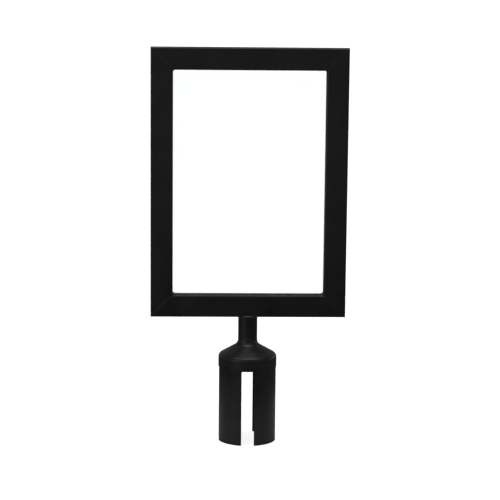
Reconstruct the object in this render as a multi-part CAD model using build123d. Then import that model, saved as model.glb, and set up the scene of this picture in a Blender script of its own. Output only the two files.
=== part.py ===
from build123d import *
import math
import os

# Post-top sign frame: a portrait frame for a loose printed sheet, on a short neck, with a slotted
# cup that drops over the head of a belt-barrier post. Millimetres, +Z up, front towards -Y.
# The origin is the centre of the cup's mouth, in the plane of its rim.

# Frame and the slotted box section that its four rails are made of
FRAME_WIDTH = 253.0
FRAME_HEIGHT = 348.0
FRAME_BOTTOM = 165.0
RAIL_FACE = 28.5
RAIL_DEPTH = 20.0
RAIL_WALL = 1.5
RAIL_EDGE_RADIUS = 2.0

# Corner joints: the width of the mitre weld and the fillet in each inner corner
MITRE_WELD_WIDTH = 1.0
INNER_CORNER_RADIUS = 3.0
INNER_CORNER_GAP = 0.3

# Clear windows, the pocket between them and the channels that guide them
SHEET_HEIGHT = 297.0
WINDOW_WIDTH = 212.0
WINDOW_HEIGHT = 299.0
WINDOW_THICKNESS = 1.5
WINDOW_CORNER_RADIUS = 2.0
POCKET_GAP = 1.0
CHANNEL_WALL = 1.0
CHANNEL_PLAY = 0.5
CHANNEL_TOP_RECESS = 1.0

# Neck tube and its upper weld
NECK_DIAMETER = 25.0
NECK_WALL = 2.5
NECK_SEAM_WIDTH = 1.0
NECK_SEAM_PROUD = 0.2
NECK_WELD_LEG = 3.0
NECK_WELD_BEAD = 0.8
NECK_WELD_RISE = 2.2

# Cup: a slotted skirt and a cone-topped crown
CUP_DIAMETER = 76.0
CUP_WALL = 3.0
SKIRT_TOP = 105.5
SKIRT_WELD_WIDTH = 1.0
SLOT_WIDTH = 16.4
SLOT_TOP = 98.5
SLOT_CORNER_RADIUS = 1.5
RIM_CORNER_RADIUS = 1.0
SHOULDER_HEIGHT = 114.6
SHOULDER_RADIUS = 6.0
CROWN_SLOPE_DEGREES = 30.0
COLLAR_RADIUS = 9.0
COLLAR_LIP = 0.4
HUB_RADIUS = 16.0
SPIGOT_DIAMETER = 19.8
SPIGOT_LENGTH = 12.0

# Rubber washer under the crown
PAD_THICKNESS = 3.0
PAD_INNER_RADIUS = 17.0
PAD_OUTER_RADIUS = 31.0

# How far a cut runs on past the metal, and how near to the rim's plane an edge counts as its own
CLEAR = 1.0
RIM_TOLERANCE = 0.01

# Worked out from the sizes above
FRAME_TOP = FRAME_BOTTOM + FRAME_HEIGHT
HALF_WIDTH = FRAME_WIDTH / 2
HALF_OPENING = HALF_WIDTH - RAIL_FACE
OPENING_BOTTOM = FRAME_BOTTOM + RAIL_FACE
OPENING_TOP = FRAME_TOP - RAIL_FACE
FRAME_MIDDLE = (FRAME_BOTTOM + FRAME_TOP) / 2
SHEET_BOTTOM = FRAME_MIDDLE - SHEET_HEIGHT / 2
MITRE_SETBACK = MITRE_WELD_WIDTH / 2 * math.sqrt(2)
CHANNEL_INSIDE = 2 * WINDOW_THICKNESS + POCKET_GAP + 2 * CHANNEL_PLAY
CHANNEL_OUTSIDE = CHANNEL_INSIDE + 2 * CHANNEL_WALL
CHANNEL_BACK = WINDOW_WIDTH / 2 + CHANNEL_PLAY + CHANNEL_WALL
CHANNEL_FLOOR = SHEET_BOTTOM - CHANNEL_WALL
NECK_RADIUS = NECK_DIAMETER / 2
NECK_BORE_RADIUS = NECK_RADIUS - NECK_WALL
CUP_RADIUS = CUP_DIAMETER / 2
CUP_BORE_RADIUS = CUP_RADIUS - CUP_WALL
CROWN_BOTTOM = SKIRT_TOP + SKIRT_WELD_WIDTH
CROWN_RISE = math.tan(math.radians(CROWN_SLOPE_DEGREES))
CROWN_DROP = CUP_WALL / math.cos(math.radians(CROWN_SLOPE_DEGREES))
TURN_HALF = math.radians(90 - CROWN_SLOPE_DEGREES) / 2
CONE_AT_NECK = SHOULDER_HEIGHT + (CUP_RADIUS - NECK_RADIUS) * CROWN_RISE
COLLAR_TOP = CONE_AT_NECK + COLLAR_RADIUS * math.tan(TURN_HALF) + COLLAR_LIP
NECK_BOTTOM = COLLAR_TOP + NECK_SEAM_WIDTH


def block(low, high):
    """A box between two opposite corners."""
    size = [b - a for a, b in zip(low, high)]
    middle = [(a + b) / 2 for a, b in zip(low, high)]
    return Pos(*middle) * Box(*size)


def front_prism(points, half_depth):
    """A prism through the frame's depth from an outline of (x, z) points."""
    outline = make_face(Polyline(*points, close=True))
    return extrude(Plane.XZ * outline, amount=half_depth, both=True)


def turned(points, radii):
    """A solid of revolution about +Z from (radius, z) points, some of them rounded."""
    outline = make_face(Polyline(*points, close=True))
    for (r, z), radius in radii.items():
        corner = min(outline.vertices(), key=lambda v: math.hypot(v.X - r, v.Y - z))
        outline = fillet(corner, radius)
    return revolve(Plane.XZ * outline, Axis.Z)


def cone_height(radius, drop=0.0):
    """Height of the crown's cone at a radius, or of the surface that lies below it by drop."""
    return SHOULDER_HEIGHT + (CUP_RADIUS - radius) * CROWN_RISE - drop


def section(width, height):
    """The rail's box section."""
    inner_radius = RAIL_EDGE_RADIUS - RAIL_WALL
    outer = RectangleRounded(width, height, RAIL_EDGE_RADIUS)
    return outer - RectangleRounded(width - 2 * RAIL_WALL, height - 2 * RAIL_WALL, inner_radius)


def rail_tube(middle_z):
    """A level rail at full length, before its ends are mitred."""
    profile = Plane.YZ * section(RAIL_DEPTH, RAIL_FACE)
    return Pos(0, 0, middle_z) * extrude(profile, amount=HALF_WIDTH, both=True)


def stile_tube(side):
    """An upright at full length, before its ends are mitred. Side is -1 left, 1 right."""
    tube = extrude(section(RAIL_FACE, RAIL_DEPTH), amount=FRAME_HEIGHT)
    return Pos(side * (HALF_WIDTH - RAIL_FACE / 2), 0, FRAME_BOTTOM) * tube


def glazing_slots():
    """The room cut out of the rails for the channels, and the loading slot above them."""
    half_y = CHANNEL_OUTSIDE / 2
    through = FRAME_TOP + CLEAR
    inside = HALF_OPENING - CLEAR
    left = block((-CHANNEL_BACK, -half_y, CHANNEL_FLOOR), (-inside, half_y, through))
    right = block((inside, -half_y, CHANNEL_FLOOR), (CHANNEL_BACK, half_y, through))
    floor_top = OPENING_BOTTOM + CLEAR
    bottom = block((-CHANNEL_BACK, -half_y, CHANNEL_FLOOR), (CHANNEL_BACK, half_y, floor_top))
    top = block((-CHANNEL_BACK, -half_y, OPENING_TOP - CLEAR), (CHANNEL_BACK, half_y, through))
    return left + right + bottom + top


def rail(outer_z, inner_z):
    """A level rail between its mitres, slotted for the windows."""
    long_half = HALF_WIDTH - MITRE_SETBACK
    short_half = HALF_OPENING - MITRE_SETBACK
    points = [(-long_half, outer_z), (long_half, outer_z), (short_half, inner_z), (-short_half, inner_z)]
    mitred = rail_tube((outer_z + inner_z) / 2) & front_prism(points, RAIL_DEPTH)
    return mitred - glazing_slots()


def stile(side):
    """An upright between its mitres, slotted for the windows."""
    outer = side * HALF_WIDTH
    inner = side * HALF_OPENING
    points = [
        (outer, FRAME_BOTTOM + MITRE_SETBACK),
        (outer, FRAME_TOP - MITRE_SETBACK),
        (inner, OPENING_TOP - MITRE_SETBACK),
        (inner, OPENING_BOTTOM + MITRE_SETBACK),
    ]
    return (stile_tube(side) & front_prism(points, RAIL_DEPTH)) - glazing_slots()


def corner_fillet(side, inner_z, up):
    """The two small weld fillets in an inner corner, in front of and behind the window slot."""
    corner_x = side * HALF_OPENING
    radius = INNER_CORNER_RADIUS
    centre = (corner_x - side * radius, inner_z + up * radius)
    square = Pos((corner_x + centre[0]) / 2, (inner_z + centre[1]) / 2) * Rectangle(radius, radius)
    outline = square - Pos(*centre) * Circle(radius)
    near = CHANNEL_OUTSIDE / 2 + INNER_CORNER_GAP
    far = (RAIL_DEPTH - RAIL_EDGE_RADIUS) / 2
    front = extrude(Plane.XZ.offset(near) * outline, amount=far - near)
    return front + mirror(front, Plane.XZ)


def corner_weld(side, outer_z, inner_z):
    """A mitre weld: the seam all round the section, and the fillets in the inner corner."""
    up = math.copysign(1, inner_z - outer_z)
    outer_x = side * HALF_WIDTH
    inner_x = side * HALF_OPENING
    points = [
        (outer_x - side * MITRE_SETBACK, outer_z),
        (outer_x, outer_z),
        (outer_x, outer_z + up * MITRE_SETBACK),
        (inner_x, inner_z + up * MITRE_SETBACK),
        (inner_x, inner_z),
        (inner_x - side * MITRE_SETBACK, inner_z),
    ]
    band = front_prism(points, RAIL_DEPTH)
    level = rail_tube((outer_z + inner_z) / 2)
    seam = (stile_tube(side) + level) & band
    return (seam - glazing_slots()) + corner_fillet(side, inner_z, up)


def side_channel(side):
    """The U-shaped guide inside an upright, up through the top rail."""
    top = FRAME_TOP - CHANNEL_TOP_RECESS
    outer = block(
        (HALF_OPENING, -CHANNEL_OUTSIDE / 2, CHANNEL_FLOOR),
        (CHANNEL_BACK, CHANNEL_OUTSIDE / 2, top),
    )
    groove = block(
        (HALF_OPENING - CLEAR, -CHANNEL_INSIDE / 2, CHANNEL_FLOOR - CLEAR),
        (CHANNEL_BACK - CHANNEL_WALL, CHANNEL_INSIDE / 2, top + CLEAR),
    )
    right = outer - groove
    return right if side > 0 else mirror(right, Plane.YZ)


def bottom_channel():
    """The U-shaped guide in the bottom rail, on whose floor the windows stand."""
    outer = block(
        (-HALF_OPENING, -CHANNEL_OUTSIDE / 2, CHANNEL_FLOOR),
        (HALF_OPENING, CHANNEL_OUTSIDE / 2, OPENING_BOTTOM),
    )
    groove = block(
        (-HALF_OPENING - CLEAR, -CHANNEL_INSIDE / 2, SHEET_BOTTOM),
        (HALF_OPENING + CLEAR, CHANNEL_INSIDE / 2, OPENING_BOTTOM + CLEAR),
    )
    return outer - groove


def window(face):
    """A clear sheet with rounded corners. Face is -1 for the front window, 1 for the rear one."""
    outline = RectangleRounded(WINDOW_WIDTH, WINDOW_HEIGHT, WINDOW_CORNER_RADIUS)
    sheet = extrude(Plane.XZ * outline, amount=WINDOW_THICKNESS / 2, both=True)
    middle_y = face * (POCKET_GAP + WINDOW_THICKNESS) / 2
    return Pos(0, middle_y, SHEET_BOTTOM + WINDOW_HEIGHT / 2) * sheet


def neck_tube():
    """The round tube between the crown's collar and the bottom rail."""
    return turned([
        (NECK_BORE_RADIUS, NECK_BOTTOM),
        (NECK_RADIUS, NECK_BOTTOM),
        (NECK_RADIUS, FRAME_BOTTOM),
        (NECK_BORE_RADIUS, FRAME_BOTTOM),
    ], {})


def neck_crown_weld():
    """The seam between neck tube and collar, standing slightly proud."""
    middle = (COLLAR_TOP + NECK_BOTTOM) / 2
    crest = NECK_RADIUS + NECK_SEAM_PROUD
    return turned([
        (NECK_BORE_RADIUS, COLLAR_TOP),
        (NECK_RADIUS, COLLAR_TOP),
        (crest, middle),
        (NECK_RADIUS, NECK_BOTTOM),
        (NECK_BORE_RADIUS, NECK_BOTTOM),
    ], {})


def neck_rail_weld():
    """The weld under the bottom rail, and over the tube's edge where it is wider than the rail."""
    leg = NECK_WELD_LEG
    foot = FRAME_BOTTOM - leg
    hollow = Pos(NECK_RADIUS + leg, foot) * Circle(leg)
    square = Pos(NECK_RADIUS + leg / 2, FRAME_BOTTOM - leg / 2) * Rectangle(leg, leg)
    under = revolve(Plane.XZ * (square - hollow), Axis.Z)
    half_flat = RAIL_DEPTH / 2 - RAIL_EDGE_RADIUS
    reach = NECK_RADIUS + leg
    under = under & block((-reach, -half_flat, foot), (reach, half_flat, FRAME_BOTTOM))
    bead = NECK_RADIUS + NECK_WELD_BEAD
    ring = turned([
        (NECK_RADIUS, FRAME_BOTTOM - NECK_WELD_BEAD),
        (bead, FRAME_BOTTOM),
        (NECK_RADIUS, FRAME_BOTTOM),
    ], {})
    cap = turned([
        (0, FRAME_BOTTOM),
        (bead, FRAME_BOTTOM),
        (bead - NECK_WELD_RISE, FRAME_BOTTOM + NECK_WELD_RISE),
        (0, FRAME_BOTTOM + NECK_WELD_RISE),
    ], {})
    rail_outline = RectangleRounded(RAIL_DEPTH, RAIL_FACE, RAIL_EDGE_RADIUS)
    rail_body = extrude(Plane.YZ * rail_outline, amount=HALF_OPENING, both=True)
    cap = cap - Pos(0, 0, FRAME_BOTTOM + RAIL_FACE / 2) * rail_body
    return under + ring + cap


def crown():
    """The cone-topped head: shoulder, cone, flared collar, and the spigot inside the neck."""
    spigot = SPIGOT_DIAMETER / 2
    shoulder = (CUP_RADIUS, SHOULDER_HEIGHT)
    collar = (NECK_RADIUS, CONE_AT_NECK)
    inner_shoulder = (CUP_BORE_RADIUS, cone_height(CUP_BORE_RADIUS, CROWN_DROP))
    hub = cone_height(HUB_RADIUS, CROWN_DROP)
    points = [
        (0, hub),
        (HUB_RADIUS, hub),
        inner_shoulder,
        (CUP_BORE_RADIUS, CROWN_BOTTOM),
        (CUP_RADIUS, CROWN_BOTTOM),
        shoulder,
        collar,
        (NECK_RADIUS, COLLAR_TOP),
        (spigot, COLLAR_TOP),
        (spigot, COLLAR_TOP + SPIGOT_LENGTH),
        (0, COLLAR_TOP + SPIGOT_LENGTH),
    ]
    rounded = {
        shoulder: SHOULDER_RADIUS,
        inner_shoulder: SHOULDER_RADIUS - CUP_WALL,
        collar: COLLAR_RADIUS,
    }
    return turned(points, rounded)


def crown_skirt_weld():
    """The weld between crown and skirt, ground flush inside and out."""
    return turned([
        (CUP_BORE_RADIUS, SKIRT_TOP),
        (CUP_RADIUS, SKIRT_TOP),
        (CUP_RADIUS, CROWN_BOTTOM),
        (CUP_BORE_RADIUS, CROWN_BOTTOM),
    ], {})


def skirt():
    """The tube that goes over the post's head, with four open slots for the belts."""
    tube = turned([
        (CUP_BORE_RADIUS, 0),
        (CUP_RADIUS, 0),
        (CUP_RADIUS, SKIRT_TOP),
        (CUP_BORE_RADIUS, SKIRT_TOP),
    ], {})
    outline = RectangleRounded(SLOT_WIDTH, 2 * SLOT_TOP, SLOT_CORNER_RADIUS)
    slot_pair = extrude(Plane.XZ * outline, amount=CUP_DIAMETER, both=True)
    for turn in (0, 90):
        tube = tube - Rot(0, 0, turn) * slot_pair
    ends = [e for e in tube.edges() if e.geom_type == GeomType.LINE and abs(e.center().Z) < RIM_TOLERANCE]
    return fillet(ends, RIM_CORNER_RADIUS)


def post_stop_pad():
    """A flat rubber washer, bonded to the underside of the crown's cone."""
    thick = PAD_THICKNESS / math.cos(math.radians(CROWN_SLOPE_DEGREES))
    return turned([
        (PAD_INNER_RADIUS, cone_height(PAD_INNER_RADIUS, CROWN_DROP + thick)),
        (PAD_OUTER_RADIUS, cone_height(PAD_OUTER_RADIUS, CROWN_DROP + thick)),
        (PAD_OUTER_RADIUS, cone_height(PAD_OUTER_RADIUS, CROWN_DROP)),
        (PAD_INNER_RADIUS, cone_height(PAD_INNER_RADIUS, CROWN_DROP)),
    ], {})


def build():
    """Every node of the part, by name."""
    nodes = {
        "top_rail": rail(FRAME_TOP, OPENING_TOP),
        "bottom_rail": rail(FRAME_BOTTOM, OPENING_BOTTOM),
        "bottom_glazing_channel": bottom_channel(),
        "front_window": window(-1),
        "rear_window": window(1),
        "neck_tube": neck_tube(),
        "neck_rail_weld": neck_rail_weld(),
        "neck_crown_weld": neck_crown_weld(),
        "crown": crown(),
        "crown_skirt_weld": crown_skirt_weld(),
        "skirt": skirt(),
        "post_stop_pad": post_stop_pad(),
    }
    for name, side in (("left", -1), ("right", 1)):
        nodes[f"{name}_stile"] = stile(side)
        nodes[f"{name}_glazing_channel"] = side_channel(side)
        nodes[f"corner_weld_top_{name}"] = corner_weld(side, FRAME_TOP, OPENING_TOP)
        nodes[f"corner_weld_bottom_{name}"] = corner_weld(side, FRAME_BOTTOM, OPENING_BOTTOM)
    return nodes


os.makedirs("parts", exist_ok=True)
for node, shape in build().items():
    solids = shape.solids()
    whole = solids[0] if len(solids) == 1 else Compound(solids)
    export_step(whole, f"parts/{node}.step")
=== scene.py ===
"""Looks of the post-top sign frame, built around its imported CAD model.

Lengths are metres in the row frame: +Z up, the sign's front towards -Y, and the origin in the
middle of the cup's mouth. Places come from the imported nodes' boxes.
"""

import logging
import math
from contextlib import contextmanager
from dataclasses import dataclass
from enum import Enum
from typing import Callable, Iterator

import bmesh
import bpy
from mathutils import Matrix, Vector


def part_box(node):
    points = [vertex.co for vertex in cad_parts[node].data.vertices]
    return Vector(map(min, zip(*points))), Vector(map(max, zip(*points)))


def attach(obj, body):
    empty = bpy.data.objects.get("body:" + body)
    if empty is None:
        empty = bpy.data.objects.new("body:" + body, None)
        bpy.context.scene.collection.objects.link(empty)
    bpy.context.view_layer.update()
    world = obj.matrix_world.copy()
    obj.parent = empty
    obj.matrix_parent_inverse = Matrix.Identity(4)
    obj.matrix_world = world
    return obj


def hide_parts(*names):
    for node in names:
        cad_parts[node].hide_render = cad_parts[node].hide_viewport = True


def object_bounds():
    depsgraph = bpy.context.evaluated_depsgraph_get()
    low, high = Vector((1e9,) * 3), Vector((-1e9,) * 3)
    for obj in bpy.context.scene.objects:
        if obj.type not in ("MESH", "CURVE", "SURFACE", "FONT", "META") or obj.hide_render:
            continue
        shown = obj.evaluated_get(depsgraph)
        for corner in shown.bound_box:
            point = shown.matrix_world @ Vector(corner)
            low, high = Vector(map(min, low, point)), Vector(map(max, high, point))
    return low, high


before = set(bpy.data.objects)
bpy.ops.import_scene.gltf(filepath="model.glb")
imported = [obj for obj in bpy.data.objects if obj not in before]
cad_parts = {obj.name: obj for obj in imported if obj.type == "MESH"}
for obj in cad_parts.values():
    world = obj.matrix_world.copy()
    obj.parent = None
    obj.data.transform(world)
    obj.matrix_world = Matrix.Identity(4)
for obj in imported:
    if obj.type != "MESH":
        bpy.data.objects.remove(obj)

CAD_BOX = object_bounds()
MILLIMETRE = 0.001

# The flats of a turned piece, how far a cut runs on past the metal, and the spacing of nodes
LATHE_STEPS = 128
CUT_CLEARANCE = 0.002
NODE_STEP = (240, -320)

Point = tuple[float, float]
Corner = tuple[float, float, float]
Colour = tuple[float, float, float, float]

# Which axes a mirrored copy is turned over along
ACROSS: Corner = (-1.0, 1.0, 1.0)
FRONT_TO_REAR: Corner = (1.0, -1.0, 1.0)
UPRIGHT: Corner = (1.0, 1.0, -1.0)
ACROSS_AND_UPRIGHT: Corner = (-1.0, 1.0, -1.0)

log = logging.getLogger("sign_frame")


class Element(Enum):
    """What an edit-mode selection holds, by the name that the select mode has."""

    VERTEX = "VERT"
    EDGE = "EDGE"
    FACE = "FACE"


class Side(Enum):
    """The sign's left and right, as the sign of X."""

    LEFT = -1
    RIGHT = 1


class Level(Enum):
    """The frame's top and bottom, as the sign of the way from its middle."""

    TOP = 1
    BOTTOM = -1


# ---- Working in the viewport's terms ------------------------------------------------------


def only(piece: bpy.types.Object) -> None:
    """Makes a piece the one selected and active object.

    Args:
        piece: the object to work on.
    """
    bpy.ops.object.select_all(action="DESELECT")
    piece.select_set(True)
    bpy.context.view_layer.objects.active = piece


@contextmanager
def editing(piece: bpy.types.Object) -> Iterator[None]:
    """Keeps a piece in edit mode for as long as the block lasts.

    Args:
        piece: the mesh object to edit.
    """
    only(piece)
    bpy.ops.object.mode_set(mode="EDIT")
    yield
    bpy.ops.object.mode_set(mode="OBJECT")


def pick(piece: bpy.types.Object, element: Element, test: Callable[[object], bool]) -> int:
    """Selects, in edit mode, just the elements that pass a test.

    Args:
        piece: the object being edited.
        element: the kind of element to select.
        test: says for one element whether it is selected.

    Returns:
        How many elements are selected.
    """
    bpy.ops.mesh.select_all(action="DESELECT")
    bpy.ops.mesh.select_mode(type=element.value)
    mesh = bmesh.from_edit_mesh(piece.data)
    found = {Element.VERTEX: mesh.verts, Element.EDGE: mesh.edges, Element.FACE: mesh.faces}
    chosen = [one for one in found[element] if test(one)]
    for one in chosen:
        one.select_set(True)
    mesh.select_flush_mode()
    bmesh.update_edit_mesh(piece.data)
    return len(chosen)


def run(edge: bmesh.types.BMEdge, axis: int) -> float:
    """Measures how far an edge runs along an axis: 0 for X, 1 for Y, 2 for Z."""
    return abs((edge.verts[0].co - edge.verts[1].co)[axis])


def block(name: str, low: Corner, high: Corner) -> bpy.types.Object:
    """Adds a cube primitive stretched between two corners, with its place in its mesh.

    Args:
        name: the object's name.
        low: its lowest corner.
        high: its highest corner.

    Returns:
        The new object.
    """
    bpy.ops.object.select_all(action="DESELECT")
    middle = (Vector(low) + Vector(high)) / 2
    bpy.ops.mesh.primitive_cube_add(size=1.0, location=middle)
    piece = bpy.context.object
    piece.name = name
    piece.scale = Vector(high) - Vector(low)
    bpy.ops.object.transform_apply(location=True, rotation=True, scale=True)
    return piece


def round_edges(
    piece: bpy.types.Object, test: Callable[[object], bool], radius: float, segments: int
) -> None:
    """Rounds chosen edges with the edit-mode bevel.

    Args:
        piece: the object to shape.
        test: says for one edge whether it is rounded.
        radius: the radius of the rounding.
        segments: how many flats make up the round.
    """
    with editing(piece):
        pick(piece, Element.EDGE, test)
        bpy.ops.mesh.bevel(offset=radius, segments=segments, affect="EDGES", profile=0.5)


def apply_modifier(piece: bpy.types.Object, kind: str, **settings: object) -> None:
    """Adds a modifier, sets it and applies it.

    Args:
        piece: the object to shape.
        kind: the modifier's type.
        settings: its properties.
    """
    only(piece)
    modifier = piece.modifiers.new(kind.title(), kind)
    for setting, value in settings.items():
        setattr(modifier, setting, value)
    bpy.ops.object.modifier_apply(modifier=modifier.name)


def carve(piece: bpy.types.Object, cutter: bpy.types.Object, keep: str = "DIFFERENCE") -> None:
    """Cuts a piece with another object, which is used up.

    Args:
        piece: the object to cut.
        cutter: the object to cut it with.
        keep: the Boolean modifier's operation.
    """
    apply_modifier(piece, "BOOLEAN", operation=keep, object=cutter, solver="EXACT")
    bpy.data.objects.remove(cutter, do_unlink=True)


def soften(piece: bpy.types.Object, radius: float, segments: int = 2, angle: float = 40.0) -> None:
    """Takes the sharpness off every edge that turns by more than an angle.

    Args:
        piece: the object to shape.
        radius: the radius of the softened edge.
        segments: how many flats make up the round.
        angle: the smallest turn, in degrees, that counts as an edge.
    """
    apply_modifier(
        piece,
        "BEVEL",
        width=radius,
        segments=segments,
        limit_method="ANGLE",
        angle_limit=math.radians(angle),
        use_clamp_overlap=True,
    )


def smooth(piece: bpy.types.Object, angle: float) -> None:
    """Shades a piece smooth, except across edges that turn by more than an angle.

    Args:
        piece: the object to shade.
        angle: the smallest turn, in degrees, that stays a crease.
    """
    only(piece)
    bpy.ops.object.shade_smooth_by_angle(angle=math.radians(angle))
    apply_modifier(piece, "WEIGHTED_NORMAL", keep_sharp=True)


def arc(centre: Point, radius: float, start: float, end: float, steps: int) -> list[Point]:
    """Points along an arc in the (radius, height) plane.

    Args:
        centre: the arc's centre.
        radius: its radius.
        start: the angle of its first point, in degrees from the outward direction.
        end: the angle of its last point.
        steps: how many stretches it is divided into.

    Returns:
        The points, both ends included.
    """
    turns = [math.radians(start + (end - start) * i / steps) for i in range(steps + 1)]
    return [(centre[0] + radius * math.cos(t), centre[1] + radius * math.sin(t)) for t in turns]


def lathe(name: str, outline: list[Point]) -> bpy.types.Object:
    """Extrudes one vertex along a closed outline and spins it about +Z.

    Args:
        name: the object's name.
        outline: (radius, height) points in order round the section; the last joins the first.

    Returns:
        The new object, a closed shell whose faces point outwards.
    """
    bpy.ops.object.select_all(action="DESELECT")
    first = outline[0]
    bpy.ops.mesh.primitive_plane_add(size=MILLIMETRE, location=(first[0], 0.0, first[1]))
    piece = bpy.context.object
    piece.name = name
    with editing(piece):
        bpy.ops.mesh.select_mode(type=Element.VERTEX.value)
        bpy.ops.mesh.select_all(action="SELECT")
        bpy.ops.mesh.merge(type="CENTER")
        here = first
        for there in outline[1:] + [first]:
            step = (there[0] - here[0], 0.0, there[1] - here[1])
            bpy.ops.mesh.extrude_region_move(TRANSFORM_OT_translate={"value": step})
            here = there
        bpy.ops.mesh.select_all(action="SELECT")
        bpy.ops.mesh.spin(
            steps=LATHE_STEPS, angle=math.tau, center=(0.0, 0.0, 0.0), axis=(0.0, 0.0, 1.0)
        )
        bpy.ops.mesh.select_all(action="SELECT")
        bpy.ops.mesh.remove_doubles(threshold=MILLIMETRE / 200)
        bpy.ops.mesh.delete_loose(use_verts=True, use_edges=True, use_faces=False)
        bpy.ops.mesh.select_all(action="SELECT")
        bpy.ops.mesh.normals_make_consistent(inside=False)
    only(piece)
    bpy.ops.object.transform_apply(location=True, rotation=True, scale=True)
    return piece


def pipe(name: str, bore: float, outside: float, low: float, high: float) -> bpy.types.Object:
    """Turns a plain upright tube with a bore and an outer radius, from a low to a high end."""
    return lathe(name, [(bore, low), (outside, low), (outside, high), (bore, high)])


def join(name: str, *parts: bpy.types.Object) -> bpy.types.Object:
    """Makes several objects one.

    Args:
        name: the joined object's name.
        parts: the objects; the first one stays.

    Returns:
        The joined object.
    """
    only(parts[0])
    for part in parts[1:]:
        part.select_set(True)
    bpy.ops.object.join()
    parts[0].name = name
    return parts[0]


def mirrored(piece: bpy.types.Object, name: str, flips: Corner) -> bpy.types.Object:
    """Copies a piece with a mesh of its own and mirrors the copy through the frame's middle.

    Args:
        piece: the object to copy, before it is shaded smooth.
        name: the copy's name.
        flips: 1 or -1 for each axis; -1 mirrors along that axis.

    Returns:
        The copy, its faces pointing outwards.
    """
    only(piece)
    bpy.ops.object.duplicate(linked=False)
    copy = bpy.context.object
    copy.name = name
    middle = (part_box("left_stile")[0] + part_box("right_stile")[1]) / 2
    with editing(copy):
        bpy.ops.mesh.select_all(action="SELECT")
        bpy.ops.transform.resize(value=flips, center_override=middle)
        if math.prod(flips) < 0:
            bpy.ops.mesh.flip_normals()
    return copy


def ripple(piece: bpy.types.Object, size: float, height: float) -> None:
    """Makes a surface uneven, as a hand-run weld is.

    Args:
        piece: the object to shape.
        size: how far apart the bumps are.
        height: how far they rise and fall altogether.
    """
    clouds = bpy.data.textures.new("weld_clouds", "CLOUDS")
    clouds.noise_scale = size
    apply_modifier(piece, "DISPLACE", texture=clouds, strength=height, texture_coords="GLOBAL")
    bpy.data.textures.remove(clouds)


def finish_piece(
    piece: bpy.types.Object,
    material: bpy.types.Material,
    body: str,
    slot: str,
    *nodes: str,
    crease: float = 32.0,
) -> None:
    """slot: the record's material slot; not used.
        nodes: the CAD nodes that it replaces.
        crease: the smallest turn, in degrees, that stays a crease.
    """
    smooth(piece, crease)
    piece.data.materials.clear()
    piece.data.materials.append(material)
    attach(piece, body)
    if nodes:
        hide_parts(*nodes)
    log.info("%s: %d faces, %s, on %s", piece.name, len(piece.data.polygons), material.name, body)


# ---- Finishes -----------------------------------------------------------------------------


def blank_material(name: str) -> bpy.types.Material:
    """Makes a material with an empty node tree.

    Args:
        name: the material's name.

    Returns:
        The material.
    """
    material = bpy.data.materials.new(name)
    material.use_nodes = True
    material.node_tree.nodes.clear()
    return material


def lay_out(*rows: tuple[bpy.types.Node | None, int, tuple[bpy.types.Node, ...]]) -> None:
    """Sets nodes out in the editor, one effect to a row, inside that effect's frame.

    Args:
        rows: for each row its frame, or None, its first column and its nodes.
    """
    for row, (group, first, members) in enumerate(rows):
        for column, node in enumerate(members, first):
            node.parent = group
            node.location = (NODE_STEP[0] * column, NODE_STEP[1] * row)


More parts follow.
